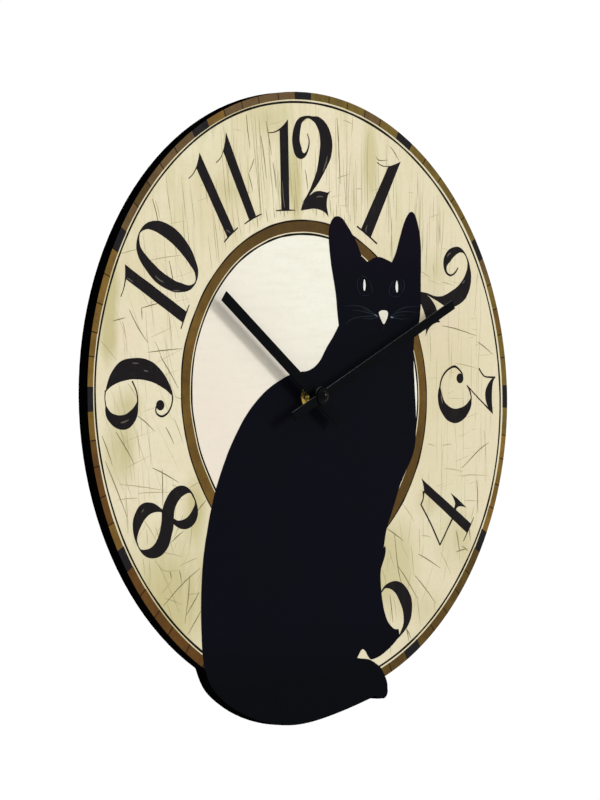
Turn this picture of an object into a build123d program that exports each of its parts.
from build123d import *
import math
import os

# Wall clock on one flat board: a round dial joined with the foot and tail of a
# seated cat, driven by a battery quartz movement that hangs on a nail.
#
# Frame: millimetres.  The origin is where the axis of the hands meets the wall.
# +X points to three o'clock, +Z up, +Y into the wall, so the dial faces -Y.
# A "depth" is the distance in front of the wall, which is -Y.

# ---- Driving dimensions -------------------------------------------------
DIAL_RADIUS = 165.0
BOARD_THICKNESS = 6.5
BOARD_EDGE_ROUND = 0.25

CASE_SIZE = 56.0
CASE_DEPTH = 17.0
CASE_WALL = 1.5
CASE_FRONT = 1.2
CASE_CORNER = 3.0
COVER_THICKNESS = 2.2
GASKET_THICKNESS = 1.0

BUSH_RADIUS = 3.95
BUSH_BORE = 2.56
BUSH_FLANGE_RADIUS = 6.0
BUSH_FLANGE_THICKNESS = 0.8
NUT_ACROSS_FLATS = 10.0
NUT_THICKNESS = 2.2
WASHER_RADIUS = 6.2
WASHER_THICKNESS = 0.6

PIPE_RADIUS = 2.5
PIPE_BORE = 1.76
ARBOR_RADIUS = 1.7
ARBOR_TIP_RADIUS = 1.2

HAND_THICKNESS = 0.7
HAND_EYE_RADIUS = 5.4
HOUR_WIDTH = 6.0
HOUR_LENGTH = 88.4
HOUR_TAIL = 22.0
HOUR_CLOCK_ANGLE = -52.5
MINUTE_WIDTH = 5.1
MINUTE_LENGTH = 119.4
MINUTE_TAIL = 25.0
MINUTE_CLOCK_ANGLE = 64.9

BATTERY_RADIUS = 7.25
BATTERY_LENGTH = 50.5
BATTERY_Z = -18.75
BATTERY_DEPTH = 8.0

# Gear train: a 30 degree rack-like tooth form, short enough not to bottom out.
PRESSURE_ANGLE = 30.0
ADDENDUM = 0.8
DEDENDUM = 1.1
BACKLASH = 0.07

CANNON_TEETH = 12
MINUTE_WORK_TEETH = 36
MINUTE_WORK_PINION_TEETH = 10
HOUR_TEETH = 40
MINUTE_WORK_DISTANCE = 9.6
CENTRE_TEETH = 60
THIRD_PINION_TEETH = 8
THIRD_TEETH = 64
SECOND_PINION_TEETH = 8
THIRD_DISTANCE = 10.08
SECOND_TEETH = 60
FIFTH_PINION_TEETH = 10
FIFTH_DISTANCE = 10.5
FIFTH_TEETH = 50
ROTOR_PINION_TEETH = 10
ROTOR_DISTANCE = 7.2

MINUTE_WORK_DIRECTION = -9.0
KNOB_DIRECTION = 0.0
THIRD_DIRECTION = 150.0
FIFTH_DIRECTION = 60.0
ROTOR_DIRECTION = 45.0

# Depths of the layers of the train, nearest the wall first.  A pinion stands
# proud of the wheel that it drives by the overhang, on both sides.
BRIDGE_NEAR, BRIDGE_FAR = 2.6, 3.6
FIFTH_NEAR, FIFTH_FAR = 4.6, 5.4
SECOND_NEAR, SECOND_FAR = 6.6, 7.4
THIRD_NEAR, THIRD_FAR = 8.8, 9.6
CENTRE_NEAR, CENTRE_FAR = 10.8, 11.6
MINUTE_WORK_NEAR, MINUTE_WORK_FAR = 12.4, 13.4
HOUR_NEAR, HOUR_FAR = 14.0, 15.0
PINION_OVERHANG = 0.2

# Pivots run in holes a little larger than themselves, in posts of the train frame.
PIVOT_RADIUS = 0.35
PIVOT_HOLE = 0.4
PIVOT_LENGTH = 1.2
PIVOT_HOLE_DEPTH = 1.4
SECOND_PIVOT_RADIUS = 0.45
SECOND_PIVOT_HOLE = 0.5
SECOND_PIVOT_FAR = 12.6
STAFF_RADIUS = 0.9
WHEEL_POST_RADIUS = 1.0
WHEEL_POST_BORE = 1.05
ROTOR_POST_NEAR = 11.3
FIFTH_POST_NEAR = 8.0
THIRD_POST_NEAR = 12.1
MINUTE_WORK_POST_NEAR = 12.1
KNOB_POST_NEAR = 13.9

# Screws, all of one size.
SCREW_SHANK = 0.7
SCREW_HOLE = 0.75
SCREW_HEAD = 1.5
SCREW_HEAD_THICKNESS = 1.0
SCREW_SLOT = (2.2, 0.4)
SCREW_SLOT_DEPTH = 0.4

# ---- Depths that follow ---------------------------------------------------
CASE_INNER = CASE_DEPTH - CASE_FRONT
BOARD_BACK = CASE_DEPTH + GASKET_THICKNESS
BOARD_FRONT = BOARD_BACK + BOARD_THICKNESS
NUT_BACK = BOARD_FRONT + WASHER_THICKNESS
BUSH_FRONT = NUT_BACK + NUT_THICKNESS + 2.2
HOUR_COLLAR_DEPTH = BUSH_FRONT + 0.2
HOUR_HAND_DEPTH = HOUR_COLLAR_DEPTH + 0.5
PIPE_FRONT = HOUR_HAND_DEPTH + HAND_THICKNESS + 0.4
MINUTE_HAND_DEPTH = PIPE_FRONT + 3.1
CAP_BACK = MINUTE_HAND_DEPTH + HAND_THICKNESS + 0.05
CAP_FLANGE = CAP_BACK + 0.6
CAP_FRONT = CAP_FLANGE + 2.3
ARBOR_NEAR = 10.4
ARBOR_BORE_FAR = 13.4
ARBOR_FRONT = CAP_FRONT - 1.2


def around(centre, distance, direction):
    """Point at a distance and an angle, counted from three o'clock, seen from the front."""
    turn = math.radians(direction)
    return (centre[0] + distance * math.cos(turn), centre[1] + distance * math.sin(turn))


CENTRE = (0.0, 0.0)
THIRD_AXIS = around(CENTRE, THIRD_DISTANCE, THIRD_DIRECTION)
FIFTH_AXIS = around(CENTRE, FIFTH_DISTANCE, FIFTH_DIRECTION)
ROTOR_AXIS = around(FIFTH_AXIS, ROTOR_DISTANCE, ROTOR_DIRECTION)
MINUTE_WORK_AXIS = around(CENTRE, MINUTE_WORK_DISTANCE, MINUTE_WORK_DIRECTION)
KNOB_AXIS = around(MINUTE_WORK_AXIS, MINUTE_WORK_DISTANCE, KNOB_DIRECTION)

BRIDGE_POSTS = [(-14.0, -6.6), (-20.0, 5.0), (17.5, 7.0)]
BRIDGE_POST_RADIUS = 1.6
BRIDGE_LOBE = 2.2
COIL_POSTS = [(-10.0, 22.0), (18.0, 22.0)]
COIL_POST_RADIUS = 1.8
CIRCUIT_PEGS = [(-21.0, 12.5), (-16.0, 24.0)]
CIRCUIT_PEG_RADIUS = 1.2

# Step motor: the stator plate lies over the coil posts, the core over the plate.
CORE_NEAR, STATOR_NEAR, STATOR_FAR = 8.6, 9.4, 10.4
MAGNET_NEAR, MAGNET_FAR = 9.0, 10.8
MAGNET_RADIUS = 3.0
CIRCUIT_NEAR, CIRCUIT_FAR = 12.2, 13.2


# ---- Shared shapes, drawn on planes parallel to the wall ---------------------
def facing(depth, centre=(0.0, 0.0)):
    """Plane parallel to the wall: local x to three o'clock, local y up."""
    return Plane(origin=(centre[0], -depth, centre[1]), x_dir=(1, 0, 0), z_dir=(0, -1, 0))


def rod(near, far, centre, radius, mode=Mode.ADD):
    """Cylinder along the axis of the hands, added to the part being built."""
    with BuildSketch(facing(near, centre)) as face:
        Circle(radius)
    extrude(face.sketch, amount=far - near, mode=mode)


def slab(near, far, low, high, round_by=0.0, mode=Mode.ADD):
    """Upright rectangular block from its low (x, z) corner to its high one."""
    width = high[0] - low[0]
    height = high[1] - low[1]
    with BuildSketch(facing(near)) as face:
        with Locations(((low[0] + high[0]) / 2, (low[1] + high[1]) / 2)):
            if round_by > 0:
                RectangleRounded(width, height, round_by)
            else:
                Rectangle(width, height)
    extrude(face.sketch, amount=far - near, mode=mode)


def involute(angle):
    return math.tan(angle) - angle


def gear(near, far, centre, teeth, mesh_distance, mate_teeth, turn):
    """Spur gear of the module that a mating gear at mesh_distance asks for.

    turn is the angle of the middle of the first tooth.
    """
    module = 2 * mesh_distance / (teeth + mate_teeth)
    pitch_radius = module * teeth / 2
    base_radius = pitch_radius * math.cos(math.radians(PRESSURE_ANGLE))
    tip_radius = pitch_radius + ADDENDUM * module
    root_radius = pitch_radius - DEDENDUM * module
    flank_start = max(base_radius, root_radius)
    pitch_half = math.pi / (2 * teeth) - BACKLASH / (4 * pitch_radius)
    start_involute = involute(math.radians(PRESSURE_ANGLE))

    def half_angle(radius):
        return pitch_half + start_involute - involute(math.acos(base_radius / radius))

    def point(radius, angle):
        return (radius * math.cos(angle), radius * math.sin(angle))

    middle = (flank_start + tip_radius) / 2
    start_half = half_angle(flank_start)
    with BuildSketch(facing(near, centre)) as face:
        with BuildLine():
            for tooth in range(teeth):
                axis = math.radians(turn) + 2 * math.pi * tooth / teeth
                following = axis + 2 * math.pi / teeth - start_half
                if root_radius < base_radius:
                    Line(point(root_radius, axis - start_half), point(flank_start, axis - start_half))
                ThreePointArc(
                    point(flank_start, axis - start_half),
                    point(middle, axis - half_angle(middle)),
                    point(tip_radius, axis - half_angle(tip_radius)),
                )
                ThreePointArc(
                    point(tip_radius, axis - half_angle(tip_radius)),
                    point(tip_radius, axis),
                    point(tip_radius, axis + half_angle(tip_radius)),
                )
                ThreePointArc(
                    point(tip_radius, axis + half_angle(tip_radius)),
                    point(middle, axis + half_angle(middle)),
                    point(flank_start, axis + start_half),
                )
                if root_radius < base_radius:
                    Line(point(flank_start, axis + start_half), point(root_radius, axis + start_half))
                ThreePointArc(
                    point(root_radius, axis + start_half),
                    point(root_radius, axis + math.pi / teeth),
                    point(root_radius, following),
                )
        make_face()
    extrude(face.sketch, amount=far - near)


def pinion(wheel_near, wheel_far, centre, teeth, mesh_distance, wheel_teeth, turn):
    """Pinion that meshes with a wheel between two depths, and stands proud of it."""
    gear(
        wheel_near - PINION_OVERHANG,
        wheel_far + PINION_OVERHANG,
        centre,
        teeth,
        mesh_distance,
        wheel_teeth,
        turn,
    )


def windows(near, far, centre, ring, count, radius, start=0.0):
    """Round holes on a ring, cut through a wheel to lighten it."""
    with BuildSketch(facing(near, centre)) as holes:
        with PolarLocations(ring, count, start_angle=start):
            Circle(radius)
    extrude(holes.sketch, amount=far - near, mode=Mode.SUBTRACT)


def slotted_screws(head_near, shank_far, places):
    """Screws with slotted heads towards the wall, at several places."""
    head_far = head_near + SCREW_HEAD_THICKNESS
    for place in places:
        rod(head_near, head_far, place, SCREW_HEAD)
        rod(head_far, shank_far, place, SCREW_SHANK)
        low = (place[0] - SCREW_SLOT[0] / 2, place[1] - SCREW_SLOT[1] / 2)
        high = (place[0] + SCREW_SLOT[0] / 2, place[1] + SCREW_SLOT[1] / 2)
        slab(head_near, head_near + SCREW_SLOT_DEPTH, low, high, mode=Mode.SUBTRACT)


def mesh_turn(turn, teeth, mate_teeth, direction):
    """First-tooth angle of a mate that lies in a direction and meshes with a gear."""
    return direction + 180 + 180 / mate_teeth - (turn - direction) * teeth / mate_teeth


# ---- The board ------------------------------------------------------------
# Rump and foot of the cat, from the left of the disc to the notch at the tail.
CAT_RUMP = [
    (-84.2, -140.2),
    (-82.0, -145.6),
    (-77.4, -153.6),
    (-69.2, -160.6),
    (-56.6, -167.6),
    (-38.0, -173.8),
    (-13.0, -176.6),
    (11.5, -173.8),
    (31.0, -169.7),
    (50.0, -164.9),
]
TAIL_HEEL = (52.8, -166.5)
TAIL_FOOT = (57.2, -166.6)
TAIL_SIDE = (60.1, -161.2)
TAIL_TOP = (57.9, -154.2)
INSIDE_DISC = [(40.0, -130.0), (-70.0, -130.0)]

with BuildPart() as dial_board:
    with BuildSketch(facing(BOARD_BACK)):
        Circle(DIAL_RADIUS)
        with BuildLine():
            Spline(*CAT_RUMP)
            ThreePointArc(CAT_RUMP[-1], (51.0, -166.1), TAIL_HEEL)
            Line(TAIL_HEEL, TAIL_FOOT)
            ThreePointArc(TAIL_FOOT, (59.5, -164.9), TAIL_SIDE)
            ThreePointArc(TAIL_SIDE, (59.7, -157.4), TAIL_TOP)
            Polyline(TAIL_TOP, *INSIDE_DISC, CAT_RUMP[0])
        make_face()
        Circle(BUSH_RADIUS + 0.25, mode=Mode.SUBTRACT)
    extrude(amount=BOARD_THICKNESS)
    front_face = dial_board.faces().sort_by(Axis.Y)[0]
    fillet(front_face.outer_wire().edges(), BOARD_EDGE_ROUND)

# ---- Fixings through the board ------------------------------------------------
GASKET_HALF = 24.0
THREAD_GROOVES = 7
THREAD_PITCH = 0.75
THREAD_DEPTH = 0.25

with BuildPart() as rubber_gasket:
    slab(CASE_DEPTH, BOARD_BACK, (-GASKET_HALF, -GASKET_HALF), (GASKET_HALF, GASKET_HALF), round_by=4)
    rod(CASE_DEPTH, BOARD_BACK, CENTRE, BUSH_RADIUS + 0.4, mode=Mode.SUBTRACT)

with BuildPart() as threaded_bush:
    rod(CASE_INNER, CASE_INNER + BUSH_FLANGE_THICKNESS, CENTRE, BUSH_FLANGE_RADIUS)
    rod(CASE_INNER, BUSH_FRONT, CENTRE, BUSH_RADIUS)
    for groove in range(THREAD_GROOVES):
        with BuildSketch(facing(BUSH_FRONT - 0.6 - groove * THREAD_PITCH)) as thread_groove:
            Circle(BUSH_RADIUS + 0.1)
            Circle(BUSH_RADIUS - THREAD_DEPTH, mode=Mode.SUBTRACT)
        extrude(thread_groove.sketch, amount=0.3, mode=Mode.SUBTRACT)
    rod(CASE_INNER, BUSH_FRONT, CENTRE, BUSH_BORE, mode=Mode.SUBTRACT)
    chamfer(threaded_bush.edges().sort_by(Axis.Y)[0:2], 0.2)

with BuildPart() as dial_washer:
    rod(BOARD_FRONT, NUT_BACK, CENTRE, WASHER_RADIUS)
    rod(BOARD_FRONT, NUT_BACK, CENTRE, BUSH_RADIUS + 0.1, mode=Mode.SUBTRACT)

with BuildPart() as dial_nut:
    with BuildSketch(facing(NUT_BACK)):
        RegularPolygon(NUT_ACROSS_FLATS / 2, 6, major_radius=False, rotation=8)
        Circle(BUSH_RADIUS + 0.05, mode=Mode.SUBTRACT)
    extrude(amount=NUT_THICKNESS)
    with BuildSketch(facing(NUT_BACK)) as corner_cone:
        Circle(NUT_ACROSS_FLATS / 2 + 1.0)
    extrude(corner_cone.sketch, amount=NUT_THICKNESS, taper=12, mode=Mode.INTERSECT)

# ---- Movement case ------------------------------------------------------------
HALF = CASE_SIZE / 2
INNER = HALF - CASE_WALL
# The battery bay lies below the partition, the movement above it.
PARTITION_TOP = -10.0
PARTITION_BOTTOM = -11.0
CONTACT_SLOT = 0.75
FINGER_NOTCH_HALF = 7.0
FINGER_NOTCH_DEPTH = 8.0
with BuildPart() as movement_case:
    slab(0, CASE_DEPTH, (-HALF, -HALF), (HALF, HALF), round_by=CASE_CORNER)
    slab(0, CASE_INNER, (-INNER, -INNER), (INNER, PARTITION_BOTTOM), mode=Mode.SUBTRACT)
    slab(0, CASE_INNER, (-INNER, PARTITION_TOP), (INNER, INNER), mode=Mode.SUBTRACT)
    slab(0, COVER_THICKNESS, (-HALF, PARTITION_BOTTOM), (HALF, HALF), mode=Mode.SUBTRACT)
    # Slots at both ends of the partition let the contact strips through.
    for side in (-1, 1):
        ends = sorted((side * INNER, side * (INNER - CONTACT_SLOT)))
        slab(4, 12, (ends[0], PARTITION_BOTTOM), (ends[1], PARTITION_TOP), mode=Mode.SUBTRACT)
    # Finger notch in the lower wall, to lift the battery out.
    slab(
        0,
        FINGER_NOTCH_DEPTH,
        (-FINGER_NOTCH_HALF, -HALF),
        (FINGER_NOTCH_HALF, -INNER),
        mode=Mode.SUBTRACT,
    )
    # Seat of the bush.
    seat = CASE_INNER + BUSH_FLANGE_THICKNESS
    rod(CASE_INNER - 0.1, seat, CENTRE, BUSH_FLANGE_RADIUS + 0.05, mode=Mode.SUBTRACT)
    rod(CASE_INNER, CASE_DEPTH, CENTRE, BUSH_RADIUS + 0.05, mode=Mode.SUBTRACT)

# ---- Train frame ----------------------------------------------------------------
FRAME_NEAR = CASE_INNER - 0.5
FRAME_EDGE = 0.15
FRAME_HOLE = 4.6
# Posts reach this far into the plate, so that they are one with it.
POST_ROOT = CASE_INNER - 0.1

with BuildPart() as train_frame:
    slab(
        FRAME_NEAR,
        CASE_INNER,
        (-INNER + FRAME_EDGE, PARTITION_TOP + FRAME_EDGE),
        (INNER - FRAME_EDGE, INNER - FRAME_EDGE),
        round_by=2.0,
    )
    rod(FRAME_NEAR, CASE_INNER, CENTRE, FRAME_HOLE, mode=Mode.SUBTRACT)
    # Posts for the bridge, the coil, the circuit board, the stator and the wheels.
    for post in BRIDGE_POSTS:
        rod(BRIDGE_FAR, POST_ROOT, post, BRIDGE_POST_RADIUS)
        rod(BRIDGE_FAR, BRIDGE_FAR + 5, post, SCREW_HOLE, mode=Mode.SUBTRACT)
    for post in COIL_POSTS:
        rod(STATOR_FAR, POST_ROOT, post, COIL_POST_RADIUS)
        rod(STATOR_FAR, STATOR_FAR + 3.6, post, SCREW_HOLE, mode=Mode.SUBTRACT)
    for post in CIRCUIT_PEGS:
        rod(CIRCUIT_FAR, POST_ROOT, post, CIRCUIT_PEG_RADIUS)
    rod(MINUTE_WORK_POST_NEAR, POST_ROOT, MINUTE_WORK_AXIS, WHEEL_POST_RADIUS)
    for axis, post_near, radius in (
        (THIRD_AXIS, THIRD_POST_NEAR, 1.5),
        (FIFTH_AXIS, FIFTH_POST_NEAR, 1.0),
        (ROTOR_AXIS, ROTOR_POST_NEAR, 1.5),
        (KNOB_AXIS, KNOB_POST_NEAR, 2.2),
    ):
        rod(post_near, POST_ROOT, axis, radius)
        rod(post_near, post_near + PIVOT_HOLE_DEPTH, axis, PIVOT_HOLE, mode=Mode.SUBTRACT)

# ---- Back cover and hanger --------------------------------------------------------
KNOB_WELL_RADIUS = 5.7
LIP_FAR = 3.4
LIP_WIDTH = 0.8
LIP_CLEARANCE = 0.15
BOSS_FAR = 4.4
BOSS_RADIUS = 1.8
HANGER_WIDTH = 20.0
HANGER_BOTTOM = 18.0
HANGER_TOP = 42.0
HANGER_THICKNESS = 1.0
HANGER_CORNER = 4.0
HOOK_HOLE_RADIUS = 4.5
HOOK_HOLE_Z = 35.0
HANGER_SCREWS = [(-6.5, 22.0), (6.5, 22.0)]
GRIP_CENTRE = (-12.0, 2.0)
GRIP_PITCH = 2.4
GRIP_GROOVES = 6

with BuildPart() as back_cover:
    slab(0, COVER_THICKNESS, (-HALF, PARTITION_BOTTOM), (HALF, HALF), round_by=1.2)
    # A lip inside the walls locates the cover.
    lip = INNER - LIP_CLEARANCE
    lip_low = PARTITION_TOP + LIP_CLEARANCE
    inside = lip - LIP_WIDTH
    slab(COVER_THICKNESS, LIP_FAR, (-lip, lip_low), (lip, lip))
    slab(COVER_THICKNESS, LIP_FAR, (-inside, lip_low + LIP_WIDTH), (inside, inside), mode=Mode.SUBTRACT)
    # Recess for the hanger plate, and bosses that its screws bite into.
    half_recess = HANGER_WIDTH / 2 + 0.1
    slab(0, HANGER_THICKNESS, (-half_recess, HANGER_BOTTOM - 0.1), (half_recess, HALF), mode=Mode.SUBTRACT)
    for boss in HANGER_SCREWS:
        rod(COVER_THICKNESS, BOSS_FAR, boss, BOSS_RADIUS)
        rod(0, BOSS_FAR, boss, SCREW_HOLE, mode=Mode.SUBTRACT)
    # Well of the setting knob, in a ring of short grooves.
    rod(0, COVER_THICKNESS, KNOB_AXIS, KNOB_WELL_RADIUS, mode=Mode.SUBTRACT)
    with BuildSketch(facing(0, KNOB_AXIS)) as turn_marks:
        with PolarLocations(KNOB_WELL_RADIUS + 1.2, 12):
            Rectangle(1.2, 0.4)
    extrude(turn_marks.sketch, amount=0.3, mode=Mode.SUBTRACT)
    # Grip grooves for the thumb that pushes the cover off.
    with BuildSketch(facing(0, GRIP_CENTRE)) as grip_grooves:
        with GridLocations(0, GRIP_PITCH, 1, GRIP_GROOVES):
            SlotOverall(18, 0.9)
    extrude(grip_grooves.sketch, amount=0.4, mode=Mode.SUBTRACT)

with BuildPart() as hanger_plate:
    with BuildSketch(facing(0)):
        with Locations((0, (HANGER_BOTTOM + HANGER_TOP) / 2)):
            RectangleRounded(HANGER_WIDTH, HANGER_TOP - HANGER_BOTTOM, HANGER_CORNER)
        with Locations((0, HOOK_HOLE_Z)):
            Circle(HOOK_HOLE_RADIUS, mode=Mode.SUBTRACT)
        with Locations(*HANGER_SCREWS):
            Circle(SCREW_HEAD + 0.1, mode=Mode.SUBTRACT)
    extrude(amount=HANGER_THICKNESS)

with BuildPart() as hanger_screws:
    slotted_screws(HANGER_THICKNESS - SCREW_HEAD_THICKNESS, BOSS_FAR - 0.2, HANGER_SCREWS)

# ---- Bridge over the train ------------------------------------------------------
with BuildPart() as gear_bridge:
    with BuildSketch(facing(BRIDGE_NEAR)):
        with Locations(*BRIDGE_POSTS, ROTOR_AXIS):
            Circle(BRIDGE_LOBE)
        make_hull()
        with Locations(*BRIDGE_POSTS):
            Circle(SCREW_HEAD + 0.1, mode=Mode.SUBTRACT)
        with Locations(THIRD_AXIS, FIFTH_AXIS, ROTOR_AXIS):
            Circle(PIVOT_HOLE, mode=Mode.SUBTRACT)
        Circle(SECOND_PIVOT_HOLE, mode=Mode.SUBTRACT)
    extrude(amount=BRIDGE_FAR - BRIDGE_NEAR)

with BuildPart() as bridge_screws:
    slotted_screws(BRIDGE_FAR - SCREW_HEAD_THICKNESS, BRIDGE_FAR + 4.5, BRIDGE_POSTS)

# ---- Going train ------------------------------------------------------------------
cannon_turn = 0.0
centre_turn = 0.0
third_pinion_turn = mesh_turn(centre_turn, CENTRE_TEETH, THIRD_PINION_TEETH, THIRD_DIRECTION)
third_turn = 0.0
second_pinion_turn = mesh_turn(third_turn, THIRD_TEETH, SECOND_PINION_TEETH, THIRD_DIRECTION + 180)
second_turn = 0.0
fifth_pinion_turn = mesh_turn(second_turn, SECOND_TEETH, FIFTH_PINION_TEETH, FIFTH_DIRECTION)
fifth_turn = 0.0
rotor_turn = mesh_turn(fifth_turn, FIFTH_TEETH, ROTOR_PINION_TEETH, ROTOR_DIRECTION)
minute_work_turn = mesh_turn(cannon_turn, CANNON_TEETH, MINUTE_WORK_TEETH, MINUTE_WORK_DIRECTION)
work_pinion_turn = 0.0
hour_turn = mesh_turn(work_pinion_turn, MINUTE_WORK_PINION_TEETH, HOUR_TEETH, MINUTE_WORK_DIRECTION + 180)
knob_turn = mesh_turn(minute_work_turn, MINUTE_WORK_TEETH, CANNON_TEETH, KNOB_DIRECTION)

with BuildPart() as rotor:
    rod(MAGNET_NEAR, MAGNET_FAR, ROTOR_AXIS, MAGNET_RADIUS)
    rod(FIFTH_FAR, MAGNET_NEAR, ROTOR_AXIS, STAFF_RADIUS)
    pinion(FIFTH_NEAR, FIFTH_FAR, ROTOR_AXIS, ROTOR_PINION_TEETH, ROTOR_DISTANCE, FIFTH_TEETH, rotor_turn)
    rod(BRIDGE_NEAR, ROTOR_POST_NEAR + PIVOT_LENGTH, ROTOR_AXIS, PIVOT_RADIUS)

with BuildPart() as fifth_wheel:
    gear(FIFTH_NEAR, FIFTH_FAR, FIFTH_AXIS, FIFTH_TEETH, ROTOR_DISTANCE, ROTOR_PINION_TEETH, fifth_turn)
    windows(FIFTH_NEAR, FIFTH_FAR, FIFTH_AXIS, ring=3.6, count=4, radius=1.1)
    pinion(
        SECOND_NEAR,
        SECOND_FAR,
        FIFTH_AXIS,
        FIFTH_PINION_TEETH,
        FIFTH_DISTANCE,
        SECOND_TEETH,
        fifth_pinion_turn,
    )
    rod(FIFTH_FAR, SECOND_NEAR, FIFTH_AXIS, STAFF_RADIUS)
    rod(BRIDGE_NEAR, FIFTH_POST_NEAR + PIVOT_LENGTH, FIFTH_AXIS, PIVOT_RADIUS)

with BuildPart() as second_wheel:
    gear(SECOND_NEAR, SECOND_FAR, CENTRE, SECOND_TEETH, FIFTH_DISTANCE, FIFTH_PINION_TEETH, second_turn)
    windows(SECOND_NEAR, SECOND_FAR, CENTRE, ring=5.2, count=4, radius=1.9, start=45)
    pinion(
        THIRD_NEAR,
        THIRD_FAR,
        CENTRE,
        SECOND_PINION_TEETH,
        THIRD_DISTANCE,
        THIRD_TEETH,
        second_pinion_turn,
    )
    rod(SECOND_FAR, THIRD_NEAR, CENTRE, STAFF_RADIUS)
    rod(BRIDGE_NEAR, SECOND_PIVOT_FAR, CENTRE, SECOND_PIVOT_RADIUS)

with BuildPart() as third_wheel:
    gear(THIRD_NEAR, THIRD_FAR, THIRD_AXIS, THIRD_TEETH, THIRD_DISTANCE, SECOND_PINION_TEETH, third_turn)
    windows(THIRD_NEAR, THIRD_FAR, THIRD_AXIS, ring=5.2, count=5, radius=1.8)
    pinion(
        CENTRE_NEAR,
        CENTRE_FAR,
        THIRD_AXIS,
        THIRD_PINION_TEETH,
        THIRD_DISTANCE,
        CENTRE_TEETH,
        third_pinion_turn,
    )
    rod(THIRD_FAR, CENTRE_NEAR, THIRD_AXIS, STAFF_RADIUS)
    rod(BRIDGE_NEAR, THIRD_POST_NEAR + PIVOT_LENGTH, THIRD_AXIS, PIVOT_RADIUS)

# ---- Motion work and arbors ----------------------------------------------------------
with BuildPart() as centre_wheel:
    gear(CENTRE_NEAR, CENTRE_FAR, CENTRE, CENTRE_TEETH, THIRD_DISTANCE, THIRD_PINION_TEETH, centre_turn)
    windows(CENTRE_NEAR, CENTRE_FAR, CENTRE, ring=5.4, count=3, radius=2.0, start=90)
    rod(CENTRE_NEAR, CENTRE_FAR, CENTRE, ARBOR_RADIUS + 0.02, mode=Mode.SUBTRACT)

with BuildPart() as minute_arbor:
    rod(ARBOR_NEAR, MINUTE_HAND_DEPTH, CENTRE, ARBOR_RADIUS)
    rod(MINUTE_HAND_DEPTH, ARBOR_FRONT, CENTRE, ARBOR_TIP_RADIUS)
    pinion(
        MINUTE_WORK_NEAR,
        MINUTE_WORK_FAR,
        CENTRE,
        CANNON_TEETH,
        MINUTE_WORK_DISTANCE,
        MINUTE_WORK_TEETH,
        cannon_turn,
    )
    rod(ARBOR_NEAR, ARBOR_BORE_FAR, CENTRE, SECOND_PIVOT_HOLE, mode=Mode.SUBTRACT)

WORK_PINION_FAR = HOUR_FAR + 0.1
with BuildPart() as minute_work_wheel:
    gear(
        MINUTE_WORK_NEAR,
        MINUTE_WORK_FAR,
        MINUTE_WORK_AXIS,
        MINUTE_WORK_TEETH,
        MINUTE_WORK_DISTANCE,
        CANNON_TEETH,
        minute_work_turn,
    )
    gear(
        MINUTE_WORK_FAR,
        WORK_PINION_FAR,
        MINUTE_WORK_AXIS,
        MINUTE_WORK_PINION_TEETH,
        MINUTE_WORK_DISTANCE,
        HOUR_TEETH,
        work_pinion_turn,
    )
    rod(MINUTE_WORK_NEAR, WORK_PINION_FAR, MINUTE_WORK_AXIS, WHEEL_POST_BORE, mode=Mode.SUBTRACT)

with BuildPart() as hour_wheel:
    gear(HOUR_NEAR, HOUR_FAR, CENTRE, HOUR_TEETH, MINUTE_WORK_DISTANCE, MINUTE_WORK_PINION_TEETH, hour_turn)
    rod(HOUR_NEAR, PIPE_FRONT, CENTRE, PIPE_RADIUS)
    rod(HOUR_NEAR, PIPE_FRONT, CENTRE, PIPE_BORE, mode=Mode.SUBTRACT)

KNOB_RADIUS = 5.2
KNOB_NEAR, KNOB_FAR = 0.4, 2.0
KNOB_STEM_RADIUS = 1.2
KNOB_SLOT = (7.2, 1.0)
KNOB_SLOT_DEPTH = 0.6
KNURLS = 24
with BuildPart() as setting_knob:
    with BuildSketch(facing(KNOB_NEAR, KNOB_AXIS)) as knob_disc:
        Circle(KNOB_RADIUS)
        with PolarLocations(KNOB_RADIUS + 0.1, KNURLS):
            Circle(0.3, mode=Mode.SUBTRACT)
    extrude(knob_disc.sketch, amount=KNOB_FAR - KNOB_NEAR)
    with BuildSketch(facing(KNOB_NEAR, KNOB_AXIS)) as knob_slot:
        Rectangle(*KNOB_SLOT)
    extrude(knob_slot.sketch, amount=KNOB_SLOT_DEPTH, mode=Mode.SUBTRACT)
    rod(KNOB_FAR, MINUTE_WORK_FAR, KNOB_AXIS, KNOB_STEM_RADIUS)
    pinion(
        MINUTE_WORK_NEAR,
        MINUTE_WORK_FAR,
        KNOB_AXIS,
        CANNON_TEETH,
        MINUTE_WORK_DISTANCE,
        MINUTE_WORK_TEETH,
        knob_turn,
    )
    rod(MINUTE_WORK_FAR, KNOB_POST_NEAR + PIVOT_LENGTH - 0.1, KNOB_AXIS, PIVOT_RADIUS)

# ---- Step motor ----------------------------------------------------------------------
STATOR_LEFT, STATOR_RIGHT = -12.0, 20.0
STATOR_LOW, STATOR_RUNG, STATOR_HIGH = 15.2, 18.2, 24.0
STATOR_LEG = 4.0
ROTOR_LUG = ((5.9, 10.2), (14.8, STATOR_RUNG))
CORE_LOW, CORE_HIGH = 20.5, 23.5

with BuildPart() as stator_plate:
    slab(STATOR_NEAR, STATOR_FAR, (STATOR_LEFT, STATOR_LOW), (STATOR_RIGHT, STATOR_RUNG))
    slab(STATOR_NEAR, STATOR_FAR, (STATOR_LEFT, STATOR_LOW), (STATOR_LEFT + STATOR_LEG, STATOR_HIGH))
    slab(STATOR_NEAR, STATOR_FAR, (STATOR_RIGHT - STATOR_LEG, STATOR_LOW), (STATOR_RIGHT, STATOR_HIGH))
    slab(STATOR_NEAR, STATOR_FAR, *ROTOR_LUG)
    rod(STATOR_NEAR, STATOR_FAR, ROTOR_AXIS, MAGNET_RADIUS + 0.4, mode=Mode.SUBTRACT)
    for post in COIL_POSTS:
        rod(STATOR_NEAR, STATOR_FAR, post, SCREW_HOLE, mode=Mode.SUBTRACT)

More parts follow.
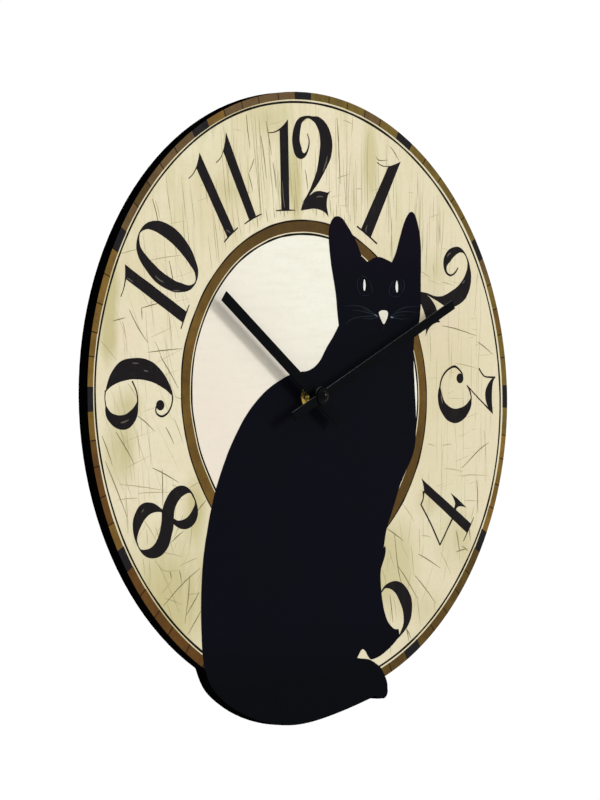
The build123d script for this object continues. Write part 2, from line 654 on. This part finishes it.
with BuildPart() as coil_core:
    slab(CORE_NEAR, STATOR_NEAR, (STATOR_LEFT, CORE_LOW), (STATOR_RIGHT, CORE_HIGH))
    for post in COIL_POSTS:
        rod(CORE_NEAR, STATOR_NEAR, post, SCREW_HOLE, mode=Mode.SUBTRACT)

COIL_Z = (CORE_LOW + CORE_HIGH) / 2
COIL_DEPTH = (CORE_NEAR + STATOR_NEAR) / 2
COIL_LEFT, COIL_RIGHT = -7.6, 15.6
COIL_LENGTH = COIL_RIGHT - COIL_LEFT
FLANGE_SIZE = 6.8
FLANGE_THICKNESS = 0.8
SLEEVE = (1.8, 4.0)
SLEEVE_BORE = (0.9, 3.1)
WINDING_RADIUS = 3.1
COIL_PLANE = Plane(origin=(COIL_LEFT, -COIL_DEPTH, COIL_Z), x_dir=(0, 1, 0), z_dir=(1, 0, 0))

with BuildPart() as coil_bobbin:
    with BuildSketch(COIL_PLANE, COIL_PLANE.offset(COIL_LENGTH - FLANGE_THICKNESS)):
        RectangleRounded(FLANGE_SIZE, FLANGE_SIZE, 0.8)
    extrude(amount=FLANGE_THICKNESS)
    with BuildSketch(COIL_PLANE):
        Rectangle(*SLEEVE)
    extrude(amount=COIL_LENGTH)
    with BuildSketch(COIL_PLANE):
        Rectangle(*SLEEVE_BORE)
    extrude(amount=COIL_LENGTH, mode=Mode.SUBTRACT)

with BuildPart() as coil_winding:
    with BuildSketch(COIL_PLANE.offset(FLANGE_THICKNESS + 0.05)):
        Circle(WINDING_RADIUS)
        Rectangle(SLEEVE[0] + 0.1, SLEEVE[1] + 0.1, mode=Mode.SUBTRACT)
    extrude(amount=COIL_LENGTH - 2 * FLANGE_THICKNESS - 0.1)

with BuildPart() as coil_screws:
    slotted_screws(CORE_NEAR - SCREW_HEAD_THICKNESS, STATOR_FAR + 3.2, COIL_POSTS)

# ---- Electronics and contacts ------------------------------------------------------------
CIRCUIT_CORNERS = ((-25.9, 9.2), (-13.2, 26.2))
CHIP_CENTRE = (-19.0, 19.4)
CHIP_RADIUS = 2.6
CHIP_NEAR = CIRCUIT_NEAR - 1.3
CAN_RADIUS = 1.0
CAN_LENGTH = 6.2
CAN_LEFT, CAN_DEPTH, CAN_Z = -24.4, 11.0, 24.6
LEAD_RADIUS = 0.2
LEAD_SPACING = 0.45
LEAD_LENGTH = 0.8

with BuildPart() as circuit_board:
    slab(CIRCUIT_NEAR, CIRCUIT_FAR, *CIRCUIT_CORNERS)

with BuildPart() as control_chip:
    rod(CHIP_NEAR, CIRCUIT_NEAR, CHIP_CENTRE, CHIP_RADIUS)
    fillet(control_chip.edges().sort_by(Axis.Y)[-1], 0.6)

with BuildPart() as quartz_crystal:
    with BuildSketch(Plane(origin=(CAN_LEFT, -CAN_DEPTH, CAN_Z), x_dir=(0, 1, 0), z_dir=(1, 0, 0))):
        Circle(CAN_RADIUS)
    extrude(amount=CAN_LENGTH)
    fillet(quartz_crystal.edges().filter_by(GeomType.CIRCLE), 0.25)
    can_right = CAN_LEFT + CAN_LENGTH
    for side in (-LEAD_SPACING, LEAD_SPACING):
        lead_end = (can_right + LEAD_LENGTH - LEAD_RADIUS, CAN_Z + side)
        rod(CAN_DEPTH - 0.1, CIRCUIT_NEAR, lead_end, LEAD_RADIUS)
        lead_plane = Plane(
            origin=(can_right - LEAD_RADIUS, -CAN_DEPTH, CAN_Z + side), x_dir=(0, 1, 0), z_dir=(1, 0, 0)
        )
        with BuildSketch(lead_plane):
            Circle(LEAD_RADIUS)
        extrude(amount=LEAD_LENGTH + LEAD_RADIUS)

CONTACT_OUTER = INNER - 0.05
CONTACT_THICKNESS = 0.3
CONTACT_INNER = CONTACT_OUTER - CONTACT_THICKNESS
CONTACT_LOW = -24.0
DIMPLE_RADIUS = 2.4
# The plus strip runs along the partition, near the front wall, to the circuit board.
STRIP_LOW, STRIP_HIGH = -9.7, -9.4
STRIP_NEAR, STRIP_FAR = 13.8, 14.8
STRIP_START, STRIP_END = 24.0, -25.0

with BuildPart() as positive_contact:
    slab(5.0, 11.0, (CONTACT_INNER, CONTACT_LOW), (CONTACT_OUTER, STRIP_HIGH))
    with BuildSketch(Plane.YZ.offset(CONTACT_INNER)):
        with Locations((-BATTERY_DEPTH, BATTERY_Z)):
            Circle(DIMPLE_RADIUS)
    extrude(amount=-0.3, taper=30)
    slab(10.0, 11.0, (STRIP_START - 2, STRIP_LOW), (CONTACT_OUTER, STRIP_HIGH))
    slab(10.0, STRIP_FAR, (STRIP_START - 2, STRIP_LOW), (STRIP_START, STRIP_HIGH))
    slab(STRIP_NEAR, STRIP_FAR, (STRIP_END, STRIP_LOW), (STRIP_START, STRIP_HIGH))
    tongue_near = CIRCUIT_FAR + 0.05
    slab(tongue_near, STRIP_FAR, (STRIP_END, STRIP_LOW), (STRIP_END + 1.4, STRIP_HIGH))
    slab(tongue_near, tongue_near + 0.3, (STRIP_END, STRIP_LOW), (STRIP_END + 1.4, 11.0))

LEAF_WIDTH = 5.0
LEAF_LOW, LEAF_HIGH = 4.4, 11.5
with BuildPart() as negative_contact:
    slab(6.0, 12.0, (-CONTACT_OUTER, CONTACT_LOW), (-CONTACT_INNER, 11.0))
    # Bowed leaf that presses on the flat end of the cell.
    with BuildSketch(Plane.XY.offset(BATTERY_Z - LEAF_WIDTH / 2)):
        with BuildLine():
            leaf_root = -CONTACT_INNER
            Polyline(
                (leaf_root, -LEAF_HIGH),
                (-BATTERY_LENGTH / 2 - 0.05, -BATTERY_DEPTH),
                (leaf_root, -LEAF_LOW),
                (leaf_root - 0.1, -LEAF_LOW),
                (leaf_root - 0.1, -LEAF_LOW - 0.5),
                (-BATTERY_LENGTH / 2 - 0.35, -BATTERY_DEPTH),
                (leaf_root - 0.1, -LEAF_HIGH + 0.5),
                (leaf_root - 0.1, -LEAF_HIGH),
                close=True,
            )
        make_face()
    extrude(amount=LEAF_WIDTH)

NUB_RADIUS = 2.75
NUB_HEIGHT = 1.2
BATTERY_PLANE = Plane(
    origin=(-BATTERY_LENGTH / 2, -BATTERY_DEPTH, BATTERY_Z), x_dir=(0, 1, 0), z_dir=(1, 0, 0)
)
with BuildPart() as battery:
    with BuildSketch(BATTERY_PLANE):
        Circle(BATTERY_RADIUS)
    extrude(amount=BATTERY_LENGTH - NUB_HEIGHT)
    fillet(battery.edges(), 0.6)
    with BuildSketch(BATTERY_PLANE.offset(BATTERY_LENGTH - NUB_HEIGHT)):
        Circle(NUB_RADIUS)
    extrude(amount=NUB_HEIGHT)
    fillet(battery.edges().sort_by(Axis.X)[-1], 0.3)


# ---- Hands --------------------------------------------------------------------------
def baton(depth, width, length, tail, bore):
    """Straight hand with a round eye, pointing to twelve."""
    with BuildSketch(facing(depth)) as face:
        with Locations((0, (length - tail) / 2)):
            Rectangle(width, length + tail)
        Circle(HAND_EYE_RADIUS)
        Circle(bore, mode=Mode.SUBTRACT)
    return face.sketch


def clock_turn(shape, degrees):
    """Turn a shape about the axis of the hands, clockwise seen from the front."""
    return shape.rotate(Axis.Y, degrees)


COLLAR_RADIUS = 4.0
with BuildPart() as hour_hand:
    hour_blade = baton(HOUR_HAND_DEPTH, HOUR_WIDTH, HOUR_LENGTH, HOUR_TAIL, PIPE_RADIUS + 0.02)
    extrude(clock_turn(hour_blade, HOUR_CLOCK_ANGLE), amount=HAND_THICKNESS)
    # Collar that grips the pipe, behind the blade.
    rod(HOUR_COLLAR_DEPTH, HOUR_HAND_DEPTH, CENTRE, COLLAR_RADIUS)
    rod(HOUR_COLLAR_DEPTH, HOUR_HAND_DEPTH, CENTRE, PIPE_RADIUS + 0.02, mode=Mode.SUBTRACT)

with BuildPart() as minute_hand:
    minute_blade = baton(
        MINUTE_HAND_DEPTH, MINUTE_WIDTH, MINUTE_LENGTH, MINUTE_TAIL, ARBOR_TIP_RADIUS + 0.02
    )
    extrude(clock_turn(minute_blade, MINUTE_CLOCK_ANGLE), amount=HAND_THICKNESS)

CAP_FLANGE_RADIUS = 4.6
DOME_RADIUS = 3.6
DOME_HEIGHT = CAP_FRONT - CAP_FLANGE
SPHERE_RADIUS = (DOME_RADIUS**2 + DOME_HEIGHT**2) / (2 * DOME_HEIGHT)
HALF_DOME = math.asin(DOME_RADIUS / SPHERE_RADIUS) / 2
DOME_MIDDLE = (
    -(CAP_FRONT - SPHERE_RADIUS + SPHERE_RADIUS * math.cos(HALF_DOME)),
    SPHERE_RADIUS * math.sin(HALF_DOME),
)

with BuildPart() as cap_nut:
    with BuildSketch(Plane(origin=(0, 0, 0), x_dir=(0, 1, 0), z_dir=(1, 0, 0))):
        with BuildLine():
            Polyline(
                (-CAP_FRONT, 0),
                (-CAP_BACK, 0),
                (-CAP_BACK, CAP_FLANGE_RADIUS),
                (-CAP_FLANGE, CAP_FLANGE_RADIUS),
                (-CAP_FLANGE, DOME_RADIUS),
            )
            ThreePointArc((-CAP_FLANGE, DOME_RADIUS), DOME_MIDDLE, (-CAP_FRONT, 0))
        make_face()
    revolve(axis=Axis.Y)
    rod(CAP_BACK, ARBOR_FRONT + 0.2, CENTRE, ARBOR_TIP_RADIUS + 0.05, mode=Mode.SUBTRACT)

# ---- Files ---------------------------------------------------------------------------
NODES = {
    "dial_board": dial_board,
    "rubber_gasket": rubber_gasket,
    "threaded_bush": threaded_bush,
    "dial_washer": dial_washer,
    "dial_nut": dial_nut,
    "movement_case": movement_case,
    "train_frame": train_frame,
    "back_cover": back_cover,
    "hanger_plate": hanger_plate,
    "hanger_screws": hanger_screws,
    "gear_bridge": gear_bridge,
    "bridge_screws": bridge_screws,
    "rotor": rotor,
    "fifth_wheel": fifth_wheel,
    "second_wheel": second_wheel,
    "third_wheel": third_wheel,
    "centre_wheel": centre_wheel,
    "minute_arbor": minute_arbor,
    "minute_work_wheel": minute_work_wheel,
    "hour_wheel": hour_wheel,
    "setting_knob": setting_knob,
    "stator_plate": stator_plate,
    "coil_core": coil_core,
    "coil_bobbin": coil_bobbin,
    "coil_winding": coil_winding,
    "coil_screws": coil_screws,
    "circuit_board": circuit_board,
    "control_chip": control_chip,
    "quartz_crystal": quartz_crystal,
    "positive_contact": positive_contact,
    "negative_contact": negative_contact,
    "battery": battery,
    "hour_hand": hour_hand,
    "minute_hand": minute_hand,
    "cap_nut": cap_nut,
}

os.makedirs("parts", exist_ok=True)
for node, piece in NODES.items():
    piece.part.label = node
    export_step(piece.part, f"parts/{node}.step")
